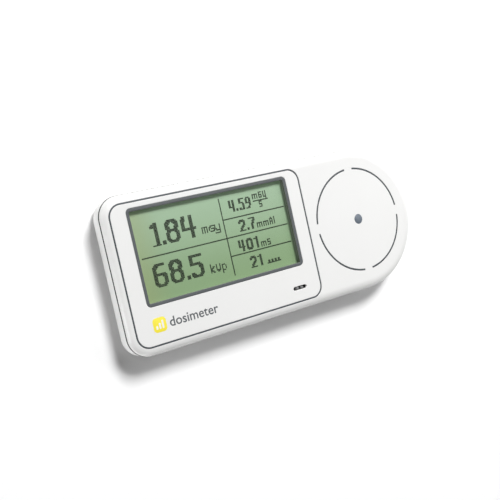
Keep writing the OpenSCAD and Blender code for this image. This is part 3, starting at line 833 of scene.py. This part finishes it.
def dome_rows(r, z0, z1, steps=8):
    """Profile of a round post with a domed top, as (inset, height) rows from its foot to its crown."""
    return [(0.0, z0), (0.0, z1 - r)] + curve_rows(r, z1 - r, r, r, 0, 88, steps)[1:]


rib_finish = groove_paint("rib_grey", (0.15, 0.153, 0.156), (0.21, 0.214, 0.218))
for k in (-1, 1):
    rib = loft(f"grille_rib_{'left' if k < 0 else 'right'}",
               stadium(slot_x + k * slot_l / 6, slot_y - 0.06, 1.5, 1.05, 12),
               dome_rows(0.5, bed_z - 0.05, 9.72))
    fit(crisp(rib, 60), rib_finish, "case", "grille_grey", "sounder_grille")


# ---------------------------------------------------------------- panel badge
# Printed on the panel below the display: a plain yellow tile with three level bars, and the kind of
# instrument in small grey letters.

def printed(name, low, high, roughness=0.45):
    """Screen-printed ink: very slightly mottled, with the mesh of the screen as a fine tooth."""
    f = Finish(name)
    mottle, screen = f.grain(0.8, 3.0), f.grain(0.07, 1.0)
    return f.surface(
        Base_Color=f.mix(mottle, low, high), Roughness=roughness + 0.12 * mottle, Normal=f.bump(screen, 0.002)
    )


print_z = face_z - 0.02
tile_x, tile_y, tile = -54.4, -17.8, 5.0
badge = loft("badge_tile", round_rect(tile_x, tile_y, tile, tile, 1.3, 10),
             [(0.0, print_z - 0.03), (0.0, print_z + 0.006), (0.02, print_z + 0.012)])
fit(crisp(badge, 60), printed("badge_yellow", (0.82, 0.70, 0.045), (0.90, 0.78, 0.065)), "case", "print_ink")
for k, tall in enumerate((1.2, 2.0, 2.8)):
    bar = loft(f"badge_bar_{k + 1}", round_rect(tile_x - 1.15 + 1.15 * k, tile_y - 1.4 + tall / 2, 0.7,
                                                tall, 0.2, 5),
               [(0.0, print_z), (0.0, print_z + 0.018), (0.02, print_z + 0.022)])
    fit(crisp(bar, 60), printed("badge_white", (0.80, 0.80, 0.76), (0.86, 0.86, 0.83)), "case", "print_ink")


def lettering(name, text, size, x, y, z, thick):
    """Plain letters as a thin solid, lying on the face with their baseline starting at (x, y)."""
    drawn = bpy.data.curves.new(name, "FONT")
    drawn.body, drawn.size, drawn.extrude, drawn.resolution_u = text, size, thick / 2, 3
    drawn.offset = 0.05
    holder = bpy.data.objects.new(name, drawn)
    bpy.context.scene.collection.objects.link(holder)
    made = bpy.data.meshes.new_from_object(holder.evaluated_get(bpy.context.evaluated_depsgraph_get()))
    bpy.data.objects.remove(holder)
    points = np.array([v.co for v in made.vertices]) + (x, y, z)
    made.vertices.foreach_set("co", (points * mm).ravel())
    piece = bpy.data.objects.new(name, made)
    bpy.context.scene.collection.objects.link(piece)
    return piece


word = lettering("badge_word", "dosimeter", 4.7, -50.8, -19.4, print_z, 0.024)
fit(word, printed("badge_grey", (0.075, 0.085, 0.092), (0.105, 0.115, 0.122)), "case", "print_ink")


# ---------------------------------------------------------------- power button
# A grey button with round ends slides in the long side wall and is pushed straight in. Its face is
# slightly crowned, with three fine grip grooves; a flange behind the wall keeps it in.

def button_plastic():
    """Mid-grey plastic, matt, with its gloss varying in patches."""
    f = Finish("button_plastic")
    cloud, tooth = f.grain(1.4, 3.0), f.grain(0.10, 2.0)
    return f.surface(
        Base_Color=f.mix(cloud, (0.150, 0.155, 0.160), (0.195, 0.200, 0.205)),
        Roughness=0.42 + 0.2 * cloud,
        Normal=f.bump(tooth, 0.004),
    )


button = stood_up(
    stadium(button_x, button_z, button_l, button_h, 24),
    [(0.0, wall_y - 1.46), (0.0, wall_y - 0.32)] + curve_rows(0.27, wall_y - 0.32, 0.27, 0.22, 0, 78, 6)[1:]
    + [(0.7, wall_y - 0.06), (0.9, wall_y - 0.055)],
    "power_button_face",
)
for k in (-1, 0, 1):
    carve(button, stood_up(round_rect(button_x + 1.3 * k, button_z, 0.3, 1.3, 0.14, 6),
                           [(0.0, wall_y - 0.22), (0.0, wall_y - 0.1), (-0.06, wall_y - 0.03),
                            (-0.06, wall_y + 0.5)]))
fit(crisp(button), button_plastic(), "button", "button_grey", "power_button")
flange = stood_up(round_rect(button_x, button_z, button_l + 2, button_h + 0.5, 0.3, 6),
                  [(0.05, wall_y - 2.25), (0.0, wall_y - 2.2), (0.0, wall_y - 1.5), (0.05, wall_y - 1.45)],
                  "power_button_flange")
fit(crisp(flange), button_plastic(), "button", "button_grey", "power_button")


# ---------------------------------------------------------------- battery cap
# The cap of the coin cell is a white plastic disc in the back, turned with a coin. Two lugs on its
# neck pass under the case wall. A dot on the cap lines up with one of two marks on the case.

cap_edge, neck_r, cup_r, lug_z, neck_top = 13.88, 11.88, 11.0, 1.75, 2.35
cap = loft(
    "battery_cap_disc",
    circle(cell_x, 0.0, cap_edge, 128),
    [(0.8, 0.55)] + curve_rows(0.3, 0.85, 0.3, 0.3, -90, 0, 6)
    + [(0.0, 1.03), (0.05, 1.08), (cap_edge - neck_r, 1.08), (cap_edge - neck_r, neck_top - 0.08)]
    + [(cap_edge - neck_r + 0.08, neck_top), (cap_edge - cup_r - 0.08, neck_top),
       (cap_edge - cup_r, neck_top - 0.08)]
    + [(cap_edge - cup_r, 1.72), (cap_edge - cup_r + 0.5, 1.7)],
)
arrow = [(cell_x + 12.0, 0.0, 0.85, 0, 240, 2)]
carve(
    cap,
    loft("cutter", stadium(cell_x, 0.0, 15.0, 1.8), [(-0.15, 0.3), (-0.15, 0.55), (0.0, 0.68), (0.0, 0.98)]),
    loft("cutter", arrow, [(-0.1, 0.3), (-0.1, 0.55), (0.05, 0.7)]),
)
fit(crisp(cap), white_plastic(), "cap", "case_plastic", "battery_cap")
for k, a in enumerate((0, 180)):
    lug = arc_band(f"battery_cap_lug_{k + 1}", cell_x, 0.0, 12.5, 0.86, a - 12, a + 12,
                   [(-0.04, lug_z), (0.0, lug_z + 0.04), (0.0, neck_top - 0.1), (-0.08, neck_top - 0.02)], 12)
    fit(crisp(lug), white_plastic(), "cap", "case_plastic", "battery_cap")


# ---------------------------------------------------------------- feet
# Four soft rubber feet are pressed into shallow round seats in the back. Each has a rounded edge and
# a shallow dish, so that it grips the table on a ring.

foot_r = 3.15
for k, (x, y) in enumerate(feet_at):
    foot = loft(
        f"rubber_foot_{k + 1}",
        circle(x, y, foot_r, 64),
        [(2.4, 0.14), (2.0, 0.13), (1.55, 0.05), (1.3, 0.0), (0.5, 0.0)]
        + curve_rows(0.32, 0.32, 0.32, 0.32, -85, 0, 7) + [(0.0, 0.78)],
    )
    fit(crisp(foot, 50), rubber("foot_rubber", (0.075, 0.075, 0.078), (0.030, 0.030, 0.032), 0.7), "case",
        "foot_rubber",
        "rubber_feet")


# ---------------------------------------------------------------- rear label
# A silver polyester label lies in a shallow recess in the back. It is printed only with a thin border
# and a few rules, and its fields are blank.

label_x, label_l, label_w = 22.0, 34.0, 18.0


def label_film():
    """Brushed silver film with a printed border 0.8 mm in from its edge and three rules across it."""
    f = Finish("label_film")
    x, y, _ = f.axes()
    brushed = f.grain(0.25, 2.0, squeeze=(0.03, 1.0, 1.0))
    from_x, from_y = (x - label_x).math("ABSOLUTE"), y.math("ABSOLUTE")
    edge = (from_x - (label_l / 2 - label_w / 2)).math("MAXIMUM", from_y)
    border = 1 - (edge - (label_w / 2 - 0.9)).math("ABSOLUTE").step(0.10, 0.16)
    rule_at = (y + 2.0).math("PINGPONG", 4.0).step(0.10, 0.16)
    inside = 1 - edge.step(label_w / 2 - 2.2, label_w / 2 - 2.1)
    ink = border.math("MAXIMUM", (1 - rule_at) * inside)
    return f.surface(
        Base_Color=f.mix(ink, f.mix(brushed, (0.50, 0.51, 0.52), (0.62, 0.63, 0.64)), (0.10, 0.11, 0.12)),
        Metallic=0.75 * (1 - ink),
        Roughness=0.34 + 0.16 * brushed,
        Normal=f.bump(brushed, 0.003),
    )


label = loft("rear_label_film", round_rect(label_x, 0.0, label_l - 0.1, label_w - 0.1, 1.45),
             [(0.02, back_z + 0.005), (0.0, back_z + 0.025), (0.0, back_z + 0.12)])
fit(crisp(label, 60), label_film(), "case", "label_film", "rear_label")


# ---------------------------------------------------------------- case screws
# Five small countersunk steel screws with a cross recess go up from the back into brass sleeves. The
# thread is rolled on the shank.

def metal(name, low, high, roughness=0.3, squeeze=(1.0, 1.0, 1.0)):
    """Bare or plated metal: tone and gloss drift in patches, over fine drawing or rolling marks."""
    f = Finish(name)
    patch, marks = f.grain(1.8, 3.0), f.grain(0.12, 2.0, squeeze)
    return f.surface(
        Base_Color=f.mix(patch, low, high),
        Metallic=1.0 - 0.08 * patch,
        Roughness=roughness + 0.18 * patch * marks,
        Normal=f.bump(marks, 0.002),
    )


def threaded_screw(name, x, y):
    """A countersunk screw standing on its head: the head as turned rings, then a shank whose radius is
    0.90 + 0.10 |2 fract(z / pitch - a / 360) - 1| at a height z and an angle a round it."""
    a = np.linspace(0, 2 * np.pi, 40, endpoint=False)
    head = [(1.2, 0.60), (1.74, 0.60), (1.88, 0.66), (1.88, 0.74), (1.02, 1.58)]
    z = np.arange(1.7, 7.5, 0.075)
    wave = np.abs(2 * ((z[:, None] / 0.45 - a / (2 * np.pi)) % 1.0) - 1)
    r = np.concatenate([[np.full(len(a), r) for r, _ in head], 0.90 + 0.10 * wave, [np.full(len(a), 0.6)]])
    z = np.concatenate([[height for _, height in head], z, [7.58]])
    rings = np.stack([x + r * np.cos(a), y + r * np.sin(a), np.broadcast_to(z[:, None], r.shape)], -1)
    return rings_to_piece(name, rings, False)


steel = metal("screw_steel", (0.42, 0.42, 0.43), (0.58, 0.58, 0.58), 0.28)
for k, (x, y) in enumerate(shell_screws_at):
    screw = threaded_screw(f"case_screw_{k + 1}", x, y)
    cross = [(0.0, 0.4), (0.0, 0.6), (0.07, 1.05)]
    carve(screw, loft("cutter", round_rect(x, y, 2.2, 0.42, 0.12, 3), cross),
          loft("cutter", round_rect(x, y, 0.42, 2.2, 0.12, 3), cross))
    fit(crisp(screw), steel, "case", "bright_metal", "shell_screws")


# ---------------------------------------------------------------- inside the case
# The parts behind the face keep their shapes and are given their materials here: two green boards,
# the display's layers, chips, the coin cell and its holder, and the detector under the ring.

def dress(finish, *names):
    """Gives CAD nodes a material."""
    for name in names:
        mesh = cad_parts[name].data
        mesh.materials.clear()
        mesh.materials.append(finish)


def circuit_board():
    """Glass-fibre board under green solder mask: tracks run along X in some blocks and along Y in
    others, and plated holes stand on a 2.54 mm grid."""
    f = Finish("circuit_board")
    x, y, _ = f.axes()
    block = f.node("ShaderNodeTexVoronoi", {"distance": "CHEBYCHEV"}, {"Vector": f.place(), "Scale": 210.0},
                   out=1)
    pick = f.node("ShaderNodeSeparateColor", None, {"Color": block})
    def lines(along, every):
        return 1 - (along / every).math("FRACT").math("SUBTRACT", 0.5).math("ABSOLUTE").step(0.13, 0.17)
    turn = pick.step(0.49, 0.51)
    track = lines(x, 0.8) * turn + lines(y, 0.8) * (1 - turn)
    hole_x, hole_y = ((c / 2.54).math("FRACT").math("SUBTRACT", 0.5) * 2.54 for c in (x, y))
    reach = (hole_x * hole_x + hole_y * hole_y).math("SQRT")
    pad, hole = 1 - reach.step(0.30, 0.34), 1 - reach.step(0.14, 0.17)
    mask = f.mix(track * 0.7, (0.012, 0.105, 0.045), (0.030, 0.190, 0.070))
    plated = f.mix(pad, mask, (0.55, 0.47, 0.30))
    return f.surface(
        Base_Color=f.mix(hole, plated, (0.01, 0.01, 0.01)),
        Roughness=0.30 + 0.12 * f.grain(1.0, 3.0),
        Metallic=pad * 0.6,
        Normal=f.bump(track + pad, 0.02),
    )


def moulding(name, low, high, roughness=0.45, tooth=0.004):
    """Small engineering-plastic part: flow marks in its tone and a fine moulded texture."""
    f = Finish(name)
    flow, grain = f.grain(2.6, 3.0, (1.0, 0.4, 1.0)), f.grain(0.10, 2.0)
    return f.surface(Base_Color=f.mix(flow, low, high), Roughness=roughness + 0.15 * flow,
                     Normal=f.bump(grain, tooth))


def display_glass():
    """Thin glass of the display, grey-green in its depth, with a cleaner, shinier patchiness."""
    f = Finish("display_glass")
    smear = f.grain(3.5, 3.0)
    return f.surface(
        Base_Color=f.mix(smear, (0.24, 0.31, 0.24), (0.32, 0.40, 0.30)), Roughness=0.05 + 0.1 * smear,
        Normal=f.bump(smear, 0.002), Specular_IOR_Level=0.5,
    )


def foam():
    """Grey closed-cell foam: small cells that show as pits."""
    f = Finish("gasket_foam")
    cells = f.node("ShaderNodeTexVoronoi", None, {"Vector": f.place(), "Scale": 5200.0})
    return f.surface(
        Base_Color=f.mix(cells, (0.12, 0.12, 0.125), (0.05, 0.05, 0.052)), Roughness=0.9 - 0.1 * cells,
        Normal=f.bump(cells, 0.03)
    )


dress(circuit_board(), "main_board", "detector_board")
dress(display_glass(), "lcd_front_glass", "lcd_rear_glass")
dress(moulding("light_guide", (0.70, 0.76, 0.72), (0.80, 0.85, 0.80), 0.18), "lcd_backlight")
dress(moulding("white_moulding", (0.66, 0.65, 0.60), (0.76, 0.75, 0.71)), "lcd_holder", "display_connector",
      "board_connector",
      "switch_plunger")
dress(moulding("amber_film", (0.33, 0.15, 0.035), (0.46, 0.23, 0.06), 0.25), "lcd_flat_cable")
dress(moulding("chip_epoxy", (0.018, 0.018, 0.019), (0.034, 0.034, 0.035), 0.5), "microcontroller",
      "memory_chip",
      "voltage_regulator", "charge_amplifiers", "resistors")
dress(moulding("capacitor_ceramic", (0.34, 0.24, 0.15), (0.46, 0.34, 0.22), 0.4), "capacitors")
dress(moulding("black_moulding", (0.020, 0.020, 0.021), (0.040, 0.040, 0.041), 0.45), "sounder",
      "power_switch", "cell_holder")
dress(metal("can_nickel", (0.50, 0.50, 0.49), (0.66, 0.66, 0.64), 0.22, (1.0, 0.1, 1.0)), "quartz_crystal",
      "board_screws")
dress(foam(), "sounder_gasket")
dress(metal("cell_steel", (0.52, 0.52, 0.51), (0.68, 0.68, 0.66), 0.20, (0.08, 1.0, 1.0)), "coin_cell")
dress(metal("contact_gold", (0.68, 0.46, 0.14), (0.82, 0.60, 0.22), 0.22), "positive_contact",
      "negative_contact")
dress(moulding("diode_blue", (0.010, 0.014, 0.060), (0.020, 0.026, 0.110), 0.12, 0.001), "detector_diodes")
dress(metal("filter_copper", (0.46, 0.20, 0.10), (0.66, 0.33, 0.19), 0.3, (0.1, 1.0, 1.0)),
      "detector_filters")
dress(metal("frame_zinc", (0.26, 0.27, 0.28), (0.38, 0.39, 0.40), 0.42), "detector_frame",
      "backscatter_shield")
dress(moulding("foil_black", (0.010, 0.010, 0.010), (0.024, 0.024, 0.024), 0.35), "light_shield")
dress(metal("sleeve_brass", (0.50, 0.36, 0.13), (0.66, 0.50, 0.22), 0.3), "screw_inserts")
